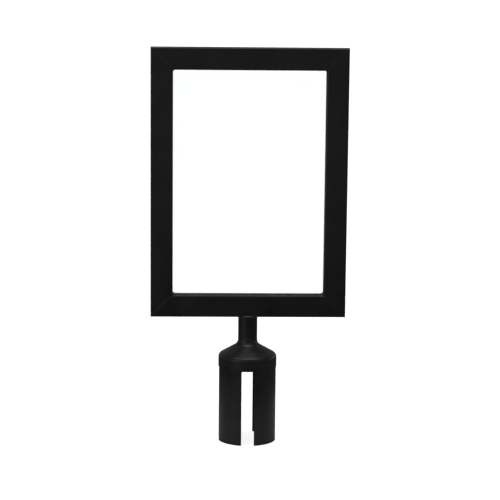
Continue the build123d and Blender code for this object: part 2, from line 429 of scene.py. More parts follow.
@dataclass(frozen=True)
class PowderCoat:
    """Satin black powder coat: faint orange peel, cloudy gloss and rubbed edges."""

    name: str
    shade: Colour = (0.0034, 0.0034, 0.0037, 1.0)
    cloud_shade: Colour = (0.0110, 0.0110, 0.0116, 1.0)
    rubbed_shade: Colour = (0.026, 0.026, 0.027, 1.0)
    smoothest: float = 0.27
    roughest: float = 0.45
    peel_per_metre: float = 950.0
    peel_height: float = 0.06 * MILLIMETRE
    specular: float = 0.50

    def material(self) -> bpy.types.Material:
        """Writes the material out node by node.

        Returns:
            The material.
        """
        material = blank_material(self.name)
        nodes = material.node_tree.nodes
        links = material.node_tree.links

        place = nodes.new("ShaderNodeTexCoord")
        place.label = "Place on the steel"

        shade_frame = nodes.new("NodeFrame")
        shade_frame.label = "Cloudy black"
        clouds = nodes.new("ShaderNodeTexNoise")
        clouds.label = "Where the powder lies thicker"
        clouds.inputs["Scale"].default_value = 26.0
        clouds.inputs["Detail"].default_value = 4.0
        clouds.inputs["Roughness"].default_value = 0.6
        depth = nodes.new("ShaderNodeMapRange")
        depth.label = "From thin to thick"
        depth.inputs["From Min"].default_value = 0.35
        depth.inputs["From Max"].default_value = 0.65
        tint = nodes.new("ShaderNodeMix")
        tint.label = "Two near blacks"
        tint.data_type = "RGBA"
        tint.inputs["A"].default_value = self.shade
        tint.inputs["B"].default_value = self.cloud_shade

        gloss_frame = nodes.new("NodeFrame")
        gloss_frame.label = "Uneven gloss"
        gloss = nodes.new("ShaderNodeTexNoise")
        gloss.label = "Patches of gloss"
        gloss.inputs["Scale"].default_value = 48.0
        gloss.inputs["Detail"].default_value = 3.0
        level = nodes.new("ShaderNodeMapRange")
        level.label = "From smoothest to roughest"
        level.inputs["From Min"].default_value = 0.3
        level.inputs["From Max"].default_value = 0.7
        level.inputs["To Min"].default_value = self.smoothest
        level.inputs["To Max"].default_value = self.roughest

        edge_frame = nodes.new("NodeFrame")
        edge_frame.label = "Rubbed edges"
        rounded = nodes.new("ShaderNodeBevel")
        rounded.label = "Normal as if edges were rounder"
        rounded.samples = 4
        rounded.inputs["Radius"].default_value = 0.9 * MILLIMETRE
        true_normal = nodes.new("ShaderNodeNewGeometry")
        true_normal.label = "Real normal"
        agreement = nodes.new("ShaderNodeVectorMath")
        agreement.label = "How far the two agree"
        agreement.operation = "DOT_PRODUCT"
        rub = nodes.new("ShaderNodeMapRange")
        rub.label = "Rub where they differ"
        rub.inputs["From Min"].default_value = 0.995
        rub.inputs["From Max"].default_value = 0.90
        rub.inputs["To Max"].default_value = 0.55
        worn = nodes.new("ShaderNodeMix")
        worn.label = "Paler where rubbed"
        worn.data_type = "RGBA"
        worn.inputs["B"].default_value = self.rubbed_shade

        peel_frame = nodes.new("NodeFrame")
        peel_frame.label = "Orange peel"
        peel = nodes.new("ShaderNodeTexNoise")
        peel.label = "Peel of the cured powder"
        peel.inputs["Scale"].default_value = self.peel_per_metre
        peel.inputs["Detail"].default_value = 2.5
        peel.inputs["Roughness"].default_value = 0.55
        relief = nodes.new("ShaderNodeBump")
        relief.label = "Shallow relief"
        relief.inputs["Strength"].default_value = 0.6
        relief.inputs["Distance"].default_value = self.peel_height

        coat = nodes.new("ShaderNodeBsdfPrincipled")
        coat.label = "Cured powder"
        coat.inputs["Specular IOR Level"].default_value = self.specular
        coat.inputs["IOR"].default_value = 1.5
        output = nodes.new("ShaderNodeOutputMaterial")
        output.label = "Surface"

        lay_out(
            (shade_frame, 1, (clouds, depth, tint)),
            (gloss_frame, 1, (gloss, level)),
            (None, 0, (place,)),
            (edge_frame, 1, (rounded, true_normal, agreement, rub, worn)),
            (peel_frame, 1, (peel, relief)),
            (None, 6, (coat, output)),
        )

        links.new(place.outputs["Object"], clouds.inputs["Vector"])
        links.new(place.outputs["Object"], gloss.inputs["Vector"])
        links.new(place.outputs["Object"], peel.inputs["Vector"])
        links.new(clouds.outputs["Fac"], depth.inputs["Value"])
        links.new(depth.outputs["Result"], tint.inputs["Factor"])
        links.new(tint.outputs["Result"], worn.inputs["A"])
        links.new(rounded.outputs["Normal"], agreement.inputs[0])
        links.new(true_normal.outputs["Normal"], agreement.inputs[1])
        links.new(agreement.outputs["Value"], rub.inputs["Value"])
        links.new(rub.outputs["Result"], worn.inputs["Factor"])
        links.new(worn.outputs["Result"], coat.inputs["Base Color"])
        links.new(gloss.outputs["Fac"], level.inputs["Value"])
        links.new(level.outputs["Result"], coat.inputs["Roughness"])
        links.new(peel.outputs["Fac"], relief.inputs["Height"])
        links.new(relief.outputs["Normal"], coat.inputs["Normal"])
        links.new(coat.outputs["BSDF"], output.inputs["Surface"])
        return material


@dataclass(frozen=True)
class ClearAcrylic:
    """Clear polished sheet: all but invisible face on, mirroring at a slant, pale at its edges."""

    name: str
    clear_tint: Colour = (0.985, 0.992, 0.990, 1.0)
    edge_tint: Colour = (0.20, 0.30, 0.28, 1.0)
    edge_cover: float = 0.85
    edge_reach: float = 1.2 * MILLIMETRE
    face_on_mirror: float = 0.04

    def material(self) -> bpy.types.Material:
        """Writes the material out node by node.

        Returns:
            The material.
        """
        material = blank_material(self.name)
        nodes = material.node_tree.nodes
        links = material.node_tree.links

        place = nodes.new("ShaderNodeTexCoord")
        place.label = "Place on the sheet"

        cover_frame = nodes.new("NodeFrame")
        cover_frame.label = "How much shows"
        slant = nodes.new("ShaderNodeLayerWeight")
        slant.label = "How slanted the sheet is seen"
        steepen = nodes.new("ShaderNodeMath")
        steepen.label = "Mirroring grows late"
        steepen.operation = "POWER"
        steepen.inputs[1].default_value = 5.0
        mirror = nodes.new("ShaderNodeMapRange")
        mirror.label = "From face on to edge on"
        mirror.inputs["To Min"].default_value = self.face_on_mirror
        rounded = nodes.new("ShaderNodeBevel")
        rounded.label = "Normal as if the arris were rounder"
        rounded.samples = 4
        rounded.inputs["Radius"].default_value = self.edge_reach
        true_normal = nodes.new("ShaderNodeNewGeometry")
        true_normal.label = "Real normal"
        agreement = nodes.new("ShaderNodeVectorMath")
        agreement.label = "How far the two agree"
        agreement.operation = "DOT_PRODUCT"
        edge = nodes.new("ShaderNodeMapRange")
        edge.label = "Light lost along the sawn edge"
        edge.inputs["From Min"].default_value = 0.999
        edge.inputs["From Max"].default_value = 0.93
        edge.inputs["To Max"].default_value = self.edge_cover
        cover = nodes.new("ShaderNodeMath")
        cover.label = "Whichever shows more"
        cover.operation = "MAXIMUM"

        body_frame = nodes.new("NodeFrame")
        body_frame.label = "Sheet"
        scuffs = nodes.new("ShaderNodeTexNoise")
        scuffs.label = "Fine handling marks"
        scuffs.inputs["Scale"].default_value = 70.0
        scuffs.inputs["Detail"].default_value = 6.0
        haze = nodes.new("ShaderNodeMapRange")
        haze.label = "Polish, from clean to handled"
        haze.inputs["From Min"].default_value = 0.45
        haze.inputs["From Max"].default_value = 0.80
        haze.inputs["To Min"].default_value = 0.04
        haze.inputs["To Max"].default_value = 0.12
        tint = nodes.new("ShaderNodeMix")
        tint.label = "Faint green in the thickness"
        tint.data_type = "RGBA"
        tint.inputs["A"].default_value = (0.9, 0.93, 0.93, 1.0)
        tint.inputs["B"].default_value = self.edge_tint

        through = nodes.new("ShaderNodeBsdfTransparent")
        through.label = "Seen through"
        through.inputs["Color"].default_value = self.clear_tint
        sheet = nodes.new("ShaderNodeBsdfPrincipled")
        sheet.label = "Polished surface"
        sheet.inputs["IOR"].default_value = 1.49
        blend = nodes.new("ShaderNodeMixShader")
        blend.label = "Clear or mirrored"
        output = nodes.new("ShaderNodeOutputMaterial")
        output.label = "Surface"

        lay_out(
            (cover_frame, 1, (slant, steepen, mirror, cover)),
            (cover_frame, 1, (rounded, true_normal, agreement, edge)),
            (None, 0, (place,)),
            (body_frame, 1, (scuffs, haze, tint)),
            (None, 5, (through, sheet, blend, output)),
        )

        links.new(rounded.outputs["Normal"], agreement.inputs[0])
        links.new(true_normal.outputs["Normal"], agreement.inputs[1])
        links.new(agreement.outputs["Value"], edge.inputs["Value"])
        links.new(slant.outputs["Facing"], steepen.inputs[0])
        links.new(steepen.outputs["Value"], mirror.inputs["Value"])
        links.new(mirror.outputs["Result"], cover.inputs[0])
        links.new(edge.outputs["Result"], cover.inputs[1])
        links.new(edge.outputs["Result"], tint.inputs["Factor"])
        links.new(tint.outputs["Result"], sheet.inputs["Base Color"])
        links.new(place.outputs["Object"], scuffs.inputs["Vector"])
        links.new(scuffs.outputs["Fac"], haze.inputs["Value"])
        links.new(haze.outputs["Result"], sheet.inputs["Roughness"])
        links.new(cover.outputs["Value"], blend.inputs["Fac"])
        links.new(through.outputs["BSDF"], blend.inputs[1])
        links.new(sheet.outputs["BSDF"], blend.inputs[2])
        links.new(blend.outputs["Shader"], output.inputs["Surface"])
        return material


@dataclass(frozen=True)
class MattBlack:
    """Matt black plastic or rubber: a streaked or speckled surface with a low sheen."""

    name: str
    stretch: Corner
    shade: Colour = (0.012, 0.012, 0.0125, 1.0)
    bloom: Colour = (0.022, 0.022, 0.023, 1.0)
    grain_per_metre: float = 900.0
    grain_height: float = 0.04 * MILLIMETRE
    smoothest: float = 0.50
    roughest: float = 0.72
    specular: float = 0.35

    def material(self) -> bpy.types.Material:
        """Writes the material out node by node.

        Returns:
            The material.
        """
        material = blank_material(self.name)
        nodes = material.node_tree.nodes
        links = material.node_tree.links

        place = nodes.new("ShaderNodeTexCoord")
        place.label = "Place on the piece"
        drawn = nodes.new("ShaderNodeMapping")
        drawn.label = "Stretched the way it was drawn"
        drawn.inputs["Scale"].default_value = self.stretch

        bloom_frame = nodes.new("NodeFrame")
        bloom_frame.label = "Grey bloom"
        patches = nodes.new("ShaderNodeTexNoise")
        patches.label = "Patches of bloom"
        patches.inputs["Scale"].default_value = 60.0
        patches.inputs["Detail"].default_value = 5.0
        tint = nodes.new("ShaderNodeMix")
        tint.label = "Black to bloomed"
        tint.data_type = "RGBA"
        tint.inputs["A"].default_value = self.shade
        tint.inputs["B"].default_value = self.bloom

        grain_frame = nodes.new("NodeFrame")
        grain_frame.label = "Grain"
        grain = nodes.new("ShaderNodeTexNoise")
        grain.label = "Drawing lines or speckle"
        grain.inputs["Scale"].default_value = self.grain_per_metre
        grain.inputs["Detail"].default_value = 3.0
        level = nodes.new("ShaderNodeMapRange")
        level.label = "Sheen follows the grain"
        level.inputs["To Min"].default_value = self.smoothest
        level.inputs["To Max"].default_value = self.roughest
        relief = nodes.new("ShaderNodeBump")
        relief.label = "Fine relief"
        relief.inputs["Strength"].default_value = 0.7
        relief.inputs["Distance"].default_value = self.grain_height

        skin = nodes.new("ShaderNodeBsdfPrincipled")
        skin.label = "Matt skin"
        skin.inputs["Specular IOR Level"].default_value = self.specular
        output = nodes.new("ShaderNodeOutputMaterial")
        output.label = "Surface"

        lay_out(
            (bloom_frame, 2, (patches, tint)),
            (None, 0, (place, drawn)),
            (grain_frame, 2, (grain, level, relief)),
            (None, 5, (skin, output)),
        )

        links.new(place.outputs["Object"], drawn.inputs["Vector"])
        links.new(drawn.outputs["Vector"], grain.inputs["Vector"])
        links.new(place.outputs["Object"], patches.inputs["Vector"])
        links.new(patches.outputs["Fac"], tint.inputs["Factor"])
        links.new(tint.outputs["Result"], skin.inputs["Base Color"])
        links.new(grain.outputs["Fac"], level.inputs["Value"])
        links.new(level.outputs["Result"], skin.inputs["Roughness"])
        links.new(grain.outputs["Fac"], relief.inputs["Height"])
        links.new(relief.outputs["Normal"], skin.inputs["Normal"])
        links.new(skin.outputs["BSDF"], output.inputs["Surface"])
        return material


@dataclass(frozen=True)
class PaleSurround:
    """Plain white translucent sheet, lit from behind so that it stays even."""

    name: str
    shade: Colour = (0.6, 0.6, 0.6, 1.0)
    glow: float = 0.86

    def material(self) -> bpy.types.Material:
        """Writes the material out node by node; only the inside of the stage shows it.

        Returns:
            The material.
        """
        material = blank_material(self.name)
        nodes = material.node_tree.nodes
        links = material.node_tree.links
        side = nodes.new("ShaderNodeNewGeometry")
        side.label = "Inside or outside"
        outside = nodes.new("ShaderNodeBsdfTransparent")
        outside.label = "Seen through from outside"
        paper = nodes.new("ShaderNodeBsdfPrincipled")
        paper.label = "White translucent sheet"
        paper.inputs["Base Color"].default_value = self.shade
        paper.inputs["Roughness"].default_value = 0.9
        paper.inputs["Specular IOR Level"].default_value = 0.1
        paper.inputs["Emission Color"].default_value = (1.0, 1.0, 1.0, 1.0)
        paper.inputs["Emission Strength"].default_value = self.glow
        choice = nodes.new("ShaderNodeMixShader")
        choice.label = "Only the inside shows"
        output = nodes.new("ShaderNodeOutputMaterial")
        output.label = "Surface"
        lay_out((None, 0, (side, outside, paper, choice, output)))
        links.new(side.outputs["Backfacing"], choice.inputs["Fac"])
        links.new(outside.outputs["BSDF"], choice.inputs[1])
        links.new(paper.outputs["BSDF"], choice.inputs[2])
        links.new(choice.outputs["Shader"], output.inputs["Surface"])
        return material


# ---- Frame --------------------------------------------------------------------------------


@dataclass
class BoxSectionFrame:
    """The four slotted box-section rails and the seams of their mitred corners."""

    steel: bpy.types.Material
    # The welds' coat is painted paler than the rails: a painted highlight along the corner welds
    # and mitre seams
    highlit_weld_steel: bpy.types.Material
    wall: float = 1.5 * MILLIMETRE
    edge_radius: float = 2.0 * MILLIMETRE
    softening: float = 0.25 * MILLIMETRE
    bead_width: float = 2.8 * MILLIMETRE
    bead_height: float = 0.13 * MILLIMETRE
    bead_steps: int = 36
    bead_bumps: float = 3.0 * MILLIMETRE
    bead_wander: float = 0.10 * MILLIMETRE

    def __post_init__(self) -> None:
        """Reads the frame's outer and inner outline from the CAD rails."""
        left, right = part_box("left_stile"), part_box("right_stile")
        top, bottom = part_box("top_rail"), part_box("bottom_rail")
        self.outer = (left[0].x, bottom[0].z, right[1].x, top[1].z)
        self.opening = (left[1].x, bottom[1].z, right[0].x, top[0].z)
        self.half_depth = top[1].y

    def build(self) -> None:
        """Builds and dresses the rails, the corner welds and their seams."""
        rails = {
            "top_rail": self.rail("top_rail", 0),
            "bottom_rail": self.rail("bottom_rail", 0),
            "left_stile": self.rail("left_stile", 2),
        }
        rails["right_stile"] = mirrored(rails["left_stile"], "right_stile_steel", ACROSS)
        for node, rail in rails.items():
            finish_piece(rail, self.steel, "holder", "frame_coat", node)
        bead = self.mitre_bead("mitre_bead_top_left")
        beads = {
            "top_left": bead,
            "top_right": mirrored(bead, "mitre_bead_top_right", ACROSS),
            "bottom_left": mirrored(bead, "mitre_bead_bottom_left", UPRIGHT),
            "bottom_right": mirrored(bead, "mitre_bead_bottom_right", ACROSS_AND_UPRIGHT),
        }
        for corner, bead in beads.items():
            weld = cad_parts[f"corner_weld_{corner}"]
            weld.data.materials.clear()
            weld.data.materials.append(self.highlit_weld_steel)
            finish_piece(bead, self.highlit_weld_steel, "holder", "weld_coat")

    def rail(self, node: str, along: int) -> bpy.types.Object:
        """Makes one rail: rounded bar, hollowed, mitred and slotted for the windows.

        Args:
            node: the CAD rail that it stands for.
            along: the axis that the rail runs along, 0 for X and 2 for Z.

        Returns:
            The rail.
        """
        low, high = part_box(node)
        rail = block(f"{node}_steel", low, high)
        round_edges(rail, lambda e: run(e, along) > 4 * self.half_depth, self.edge_radius, 5)
        with editing(rail):
            pick(rail, Element.FACE, lambda f: abs(f.normal[along]) > 0.9)
            bpy.ops.mesh.delete(type="FACE")
        apply_modifier(
            rail, "SOLIDIFY", thickness=self.wall, offset=-1.0, use_even_offset=True, use_rim=True
        )
        for side in Side:
            for level in Level:
                if self.touches(node, side, level):
                    carve(rail, self.mitre_cutter(low, high, along, side, level))
        for cutter in self.slot_cutters():
            carve(rail, cutter)
        soften(rail, self.softening)
        return rail

    def touches(self, node: str, side: Side, level: Level) -> bool:
        """Says whether a CAD rail, by its name, ends in the corner at a side and a level."""
        return side.name.lower() in node or level.name.lower() in node

    def mitre_cutter(
        self, low: Vector, high: Vector, along: int, side: Side, level: Level
    ) -> bpy.types.Object:
        """Makes a turned block that takes off what lies past a rail's mitre.

        Args:
            low: the rail's lowest corner.
            high: its highest corner.
            along: the axis that it runs along.
            side: the corner's side.
            level: the corner's level.

        Returns:
            The block, one face of which lies in the mitre's plane.
        """
        tip_x = high.x if side is Side.RIGHT else low.x
        tip_z = high.z if level is Level.TOP else low.z
        reach = 2 * (self.opening[0] - self.outer[0])
        past = Vector((side.value, 0.0, -level.value)) * reach / 2
        centre = Vector((tip_x, 0.0, tip_z)) + (past if along == 0 else -past)
        half = Vector((reach / math.sqrt(2), 2 * self.half_depth, reach / math.sqrt(2)))
        cutter = block("mitre_cutter", centre - half, centre + half)
        with editing(cutter):
            bpy.ops.mesh.select_all(action="SELECT")
            bpy.ops.transform.rotate(value=math.pi / 4, orient_axis="Y", center_override=centre)
        return cutter

    def slot_cutters(self) -> list[bpy.types.Object]:
        """Makes the blocks that cut the room for the guides and the loading slot.

        Returns:
            The blocks, one for each side, the bottom and the top.
        """
        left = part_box("left_glazing_channel")
        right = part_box("right_glazing_channel")
        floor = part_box("bottom_glazing_channel")
        depth = (left[0].y, left[1].y)
        over = self.outer[3] + CUT_CLEARANCE
        spans = (
            (left[0].x, left[1].x + CUT_CLEARANCE, left[0].z, over),
            (right[0].x - CUT_CLEARANCE, right[1].x, right[0].z, over),
            (left[0].x, right[1].x, floor[0].z, floor[1].z + CUT_CLEARANCE),
            (left[0].x, right[1].x, self.opening[3] - CUT_CLEARANCE, over),
        )
        return [
            block("slot_cutter", (x0, depth[0], z0), (x1, depth[1], z1)) for x0, x1, z0, z1 in spans
        ]

    def mitre_bead(self, name: str) -> bpy.types.Object:
        """Makes the dressed seam along the top left mitre, on the frame's front and rear.

        Args:
            name: the piece's name.

        Returns:
            The two low ridges, as one piece.
        """
        face = self.opening[0] - self.outer[0]
        half_length = (face - 2 * self.edge_radius) / math.sqrt(2)
        centre = Vector((self.outer[0] + face / 2, -self.half_depth, self.outer[3] - face / 2))
        half = Vector((half_length, self.bead_height, self.bead_width / 2))
        ridge = block(name, centre - half, centre + half)
        round_edges(
            ridge,
            lambda e: self.runs_along(e) and e.verts[0].co.y < -self.half_depth,
            0.9 * self.bead_width / 2,
            3,
        )
        with editing(ridge):
            pick(ridge, Element.EDGE, self.runs_along)
            bpy.ops.mesh.subdivide(number_cuts=self.bead_steps)
        ripple(ridge, self.bead_bumps, self.bead_wander)
        with editing(ridge):
            bpy.ops.mesh.select_all(action="SELECT")
            bpy.ops.transform.rotate(value=-math.pi / 4, orient_axis="Y", center_override=centre)
        return join(name, ridge, mirrored(ridge, "rear_ridge", FRONT_TO_REAR))

    def runs_along(self, edge: bmesh.types.BMEdge) -> bool:
        """Says whether an edge runs along a mitre bead, while the bead still lies along X."""
        return run(edge, 0) > self.bead_width * 2


# ---- Windows and their guides -------------------------------------------------------------


@dataclass
class Glazing:
    """The two clear windows and the three plastic guides that hold them upright."""

    acrylic: bpy.types.Material
    upright_plastic: bpy.types.Material
    level_plastic: bpy.types.Material
    sheet_corner: float = 2.0 * MILLIMETRE
    sheet_arris: float = 0.22 * MILLIMETRE
    guide_wall: float = 1.0 * MILLIMETRE
    lip_radius: float = 0.3 * MILLIMETRE

    def build(self) -> None:
        """Builds and dresses the windows and guides."""
        front = self.window("front_window")
        rear = mirrored(front, "rear_window_sheet", FRONT_TO_REAR)
        finish_piece(front, self.acrylic, "front_pane", "clear_acrylic", "front_window")
        finish_piece(rear, self.acrylic, "rear_pane", "clear_acrylic", "rear_window")
        left = self.guide("left_glazing_channel", upright=True)
        right = mirrored(left, "right_glazing_channel_guide", ACROSS)
        bottom = self.guide("bottom_glazing_channel", upright=False)
        for guide, plastic, node in (
            (left, self.upright_plastic, "left_glazing_channel"),
            (right, self.upright_plastic, "right_glazing_channel"),
            (bottom, self.level_plastic, "bottom_glazing_channel"),
        ):
            finish_piece(guide, plastic, "holder", "guide_plastic", node)

    def window(self, node: str) -> bpy.types.Object:
        """Makes a clear sheet with rounded corners and a polished arris all round.

        Args:
            node: the CAD window that it stands for.

        Returns:
            The sheet.
        """
        low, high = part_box(node)
        sheet = block(f"{node}_sheet", low, high)
        round_edges(sheet, lambda e: run(e, 1) > (high.y - low.y) / 2, self.sheet_corner, 6)
        soften(sheet, self.sheet_arris, 2, 50.0)
        return sheet

    def guide(self, node: str, upright: bool) -> bpy.types.Object:
        """Makes a U-shaped guide by cutting the sheets' groove out of a bar.

        Args:
            node: the CAD guide that it stands for.
            upright: True for the left stile's guide, False for the bottom rail's.

        Returns:
            The guide.
        """
        low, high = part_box(node)
        bar = block(f"{node}_guide", low, high)
        over = Vector((CUT_CLEARANCE, -self.guide_wall, CUT_CLEARANCE))
        groove_low, groove_high = low - over, high + over
        if upright:
            groove_low.x = low.x + self.guide_wall
        else:
            groove_low.z = low.z + self.guide_wall
        carve(bar, block("groove_cutter", groove_low, groove_high))
        soften(bar, self.lip_radius, 3)
        return bar


# ---- Neck and cup -------------------------------------------------------------------------


@dataclass
class NeckAndCup:
    """Neck tube, crown, slotted skirt, their welds and the rubber stop under the crown."""

    steel: bpy.types.Material
    # The welds' coat is painted paler than the cup: a painted highlight along the collar seam and
    # the rail weld
    highlit_weld_steel: bpy.types.Material
    rubber: bpy.types.Material
    cup_wall: float = 3.0 * MILLIMETRE
    neck_wall: float = 2.5 * MILLIMETRE
    slope: float = 30.0
    shoulder_radius: float = 6.0 * MILLIMETRE
    collar_radius: float = 9.0 * MILLIMETRE
    collar_lip: float = 0.4 * MILLIMETRE
    hub_radius: float = 16.0 * MILLIMETRE
    spigot_radius: float = 9.9 * MILLIMETRE
    slot_width: float = 16.4 * MILLIMETRE
    slot_height: float = 98.5 * MILLIMETRE
    slot_corner: float = 1.5 * MILLIMETRE
    rim_corner: float = 1.0 * MILLIMETRE
    softening: float = 0.35 * MILLIMETRE
    rail_edge: float = 2.0 * MILLIMETRE
    seam_groove: float = 0.25 * MILLIMETRE
    weld_bumps: float = 2.5 * MILLIMETRE
    weld_wander: float = 0.2 * MILLIMETRE
    pad_gap: float = 1.0 * MILLIMETRE
    pad_edge: float = 0.5 * MILLIMETRE

    def __post_init__(self) -> None:
        """Reads the cup's and the neck's outline from the CAD nodes."""
        self.skirt_low, self.skirt_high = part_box("skirt")
        self.crown_low, self.crown_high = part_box("crown")
        self.neck_low, self.neck_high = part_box("neck_tube")
        self.cup_radius = self.skirt_high.x
        self.bore_radius = self.cup_radius - self.cup_wall
        self.neck_radius = self.neck_high.x
        self.collar_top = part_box("neck_crown_weld")[0].z

    def build(self) -> None:
        """Builds and dresses every piece of the neck and the cup."""
        finish_piece(self.skirt(), self.steel, "holder", "cup_coat", "skirt")
        finish_piece(self.ring_weld(), self.steel, "holder", "weld_coat", "crown_skirt_weld")
        finish_piece(self.crown(), self.steel, "holder", "cup_coat", "crown")
        finish_piece(self.neck(), self.steel, "holder", "cup_coat", "neck_tube")
        finish_piece(self.collar_seam(), self.highlit_weld_steel, "holder", "weld_coat", "neck_crown_weld")
        finish_piece(
            self.rail_weld(), self.highlit_weld_steel, "holder", "weld_coat", "neck_rail_weld", crease=45.0
        )
        finish_piece(self.stop_pad(), self.rubber, "holder", "pad_rubber", "post_stop_pad")

    def skirt(self) -> bpy.types.Object:
        """Makes the slotted tube, with its slot edges and rim softened by the coat.

        Returns:
            The skirt.
        """
        low, high = self.skirt_low, self.skirt_high
        tube = pipe("skirt_tube", self.bore_radius, self.cup_radius, low.z, high.z)
        half = self.slot_width / 2
        reach = self.cup_radius + CUT_CLEARANCE
        for axis in (1, 0):
            corner = Vector((half, reach, 0)) if axis == 1 else Vector((reach, half, 0))
            cutter = block(
                "belt_slot_cutter",
                -corner + Vector((0, 0, low.z - CUT_CLEARANCE)),
                corner + Vector((0, 0, self.slot_height)),
            )
            round_edges(
                cutter,
                lambda e: run(e, axis) > reach and e.verts[0].co.z > self.slot_height / 2,
                self.slot_corner,
                5,
            )
            carve(tube, cutter)
        self.round_finger_corners(tube)
        with editing(tube):
            pick(tube, Element.EDGE, self.is_slot_or_rim_edge)
            bpy.ops.mesh.bevel(offset=self.softening, segments=2, affect="EDGES", profile=0.5)
        return tube

    def round_finger_corners(self, tube: bpy.types.Object) -> None:
        """Rounds the corners where the slots' sides run out into the rim.

        Args:
            tube: the slotted tube.
        """
        half = self.slot_width / 2

        def crosses_wall(edge: bmesh.types.BMEdge) -> bool:
            """Says whether an edge runs through the wall beside a slot, at the rim.

            Args:
                edge: an edge of the tube.

            Returns:
                True if it does.
            """
            a, b = edge.verts[0].co, edge.verts[1].co
            beside = min(abs(abs(a.x) - half), abs(abs(a.y) - half)) < 0.01 * MILLIMETRE
            at_rim = max(a.z, b.z) < 0.1 * MILLIMETRE
            return beside and at_rim and abs(a.xy.length - b.xy.length) > self.cup_wall / 2

        round_edges(tube, crosses_wall, self.rim_corner, 4)

    def is_slot_or_rim_edge(self, edge: bmesh.types.BMEdge) -> bool:
        """Says whether an edge bounds a slot or the rim, which the coat softens.

        Args:
            edge: an edge of the skirt.

        Returns:
            True if it does.
        """
        if len(edge.link_faces) != 2 or edge.calc_face_angle() < math.radians(40.0):
            return False
        return max(edge.verts[0].co.z, edge.verts[1].co.z) < self.skirt_high.z - MILLIMETRE

    def ring_weld(self) -> bpy.types.Object:
        """Makes the flush ring between skirt and crown."""
        low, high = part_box("crown_skirt_weld")
        return pipe("skirt_seam", self.bore_radius, self.cup_radius, low.z, high.z)

    def crown(self) -> bpy.types.Object:
        """Makes the crown: shoulder, cone, flared collar, spigot and hollow underside.

        Returns:
            The crown.
        """
        rise = math.tan(math.radians(self.slope))
        tangent = math.tan(math.radians(90.0 - self.slope) / 2)
        cone_at_neck = self.collar_top - self.collar_lip - self.collar_radius * tangent
        shoulder_z = cone_at_neck - (self.cup_radius - self.neck_radius) * rise
        drop = self.cup_wall / math.cos(math.radians(self.slope))
        inner_radius = self.shoulder_radius - self.cup_wall
        hub_z = shoulder_z + (self.cup_radius - self.hub_radius) * rise - drop
        bore_z = shoulder_z + (self.cup_radius - self.bore_radius) * rise - drop
        shoulder = arc(
            (self.cup_radius - self.shoulder_radius, shoulder_z - self.shoulder_radius * tangent),
            self.shoulder_radius, 0.0, 90.0 - self.slope, 12,
        )
        collar = arc(
            (self.neck_radius + self.collar_radius, cone_at_neck + self.collar_radius * tangent),
            self.collar_radius, 270.0 - self.slope, 180.0, 14,
        )
        inner_shoulder = arc(
            (self.bore_radius - inner_radius, bore_z - inner_radius * tangent),
            inner_radius, 90.0 - self.slope, 0.0, 6,
        )
        outline = [(self.bore_radius, self.crown_low.z), (self.cup_radius, self.crown_low.z)]
        outline += shoulder + collar
        outline += [
            (self.neck_radius, self.collar_top),
            (self.spigot_radius, self.collar_top),
            (self.spigot_radius, self.crown_high.z - self.softening),
            (self.spigot_radius - self.softening, self.crown_high.z),
            (0.0, self.crown_high.z),
            (0.0, hub_z),
            (self.hub_radius, hub_z),
        ]
        outline += inner_shoulder
        return lathe("crown_head", outline)

    def neck(self) -> bpy.types.Object:
        """Makes the round neck tube."""
        bore = self.neck_radius - self.neck_wall
        return pipe("neck_pipe", bore, self.neck_radius, self.neck_low.z, self.neck_high.z)

    def collar_seam(self) -> bpy.types.Object:
        """Makes the low rounded seam between collar and neck, with a groove on each side.

        Returns:
            The seam, which fills the neck tube's wall as well.
        """
        low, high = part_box("neck_crown_weld")
        bore = self.neck_radius - self.neck_wall
        groove = self.neck_radius - self.seam_groove
        middle = (low.z + high.z) / 2
        half = (high.z - low.z) / 2
        ridge = [
            (groove + (high.x - groove) * across, middle + half * up)
            for across, up in arc((0.0, 0.0), 1.0, -90.0, 90.0, 8)
        ]
        return lathe("collar_seam", [(bore, low.z)] + ridge + [(bore, high.z)])

    def rail_weld(self) -> bpy.types.Object:
        """Makes the weld under the bottom rail and over the tube's edge in front and behind.

        Returns:
            The weld.
        """
        low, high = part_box("neck_rail_weld")
        rail_low, rail_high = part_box("bottom_rail")
        foot, rail_z, bead = low.z, rail_low.z, high.y
        throat = bead - self.neck_radius
        hollow = arc((high.x, foot), high.x - self.neck_radius, 180.0, 90.0, 8)
        sides = lathe("rail_weld_sides", hollow + [(self.neck_radius, rail_z)])
        flat = rail_high.y - self.rail_edge
        span = high.x + CUT_CLEARANCE
        keep_low = (-span, -flat, foot - CUT_CLEARANCE)
        keep_high = (span, flat, rail_z + CUT_CLEARANCE)
        carve(sides, block("weld_keeper", keep_low, keep_high), "INTERSECT")
        ring = lathe("rail_weld_ring", [
            (self.neck_radius, rail_z - throat),
            (self.neck_radius + 0.6 * throat, rail_z - 0.6 * throat),
            (bead, rail_z),
            (self.neck_radius, rail_z),
        ])
        rise = high.z - rail_z
        cap = lathe("rail_weld_cap", [
            (rail_high.y, rail_z),
            (bead, rail_z),
            (bead - 0.1 * rise, rail_z + 0.3 * rise),
            (bead - 0.5 * rise, rail_z + 0.75 * rise),
            (bead - rise, high.z),
            (rail_high.y, high.z),
        ])
        carve(cap, self.rail_cutter(span, rail_low, rail_high))
        weld = join("rail_weld", sides, ring, cap)
        ripple(weld, self.weld_bumps, self.weld_wander)
        return weld

    def rail_cutter(self, span: float, low: Vector, high: Vector) -> bpy.types.Object:
        """Makes a block with the bottom rail's rounded outline, run on downwards between its edges.

        Args:
            span: half of its length.
            low: the rail's lowest corner.
            high: the rail's highest corner.

        Returns:
            The block.
        """
        cutter = block("rail_cutter", (-span, low.y, low.z), (span, high.y, high.z))
        round_edges(
            cutter,
            lambda e: run(e, 0) > span and e.verts[0].co.z < high.z,
            self.rail_edge,
            5,
        )
        with editing(cutter):
            pick(cutter, Element.FACE, lambda f: f.normal.z < -0.999)
            bpy.ops.transform.translate(value=(0.0, 0.0, -CUT_CLEARANCE))
        return cutter

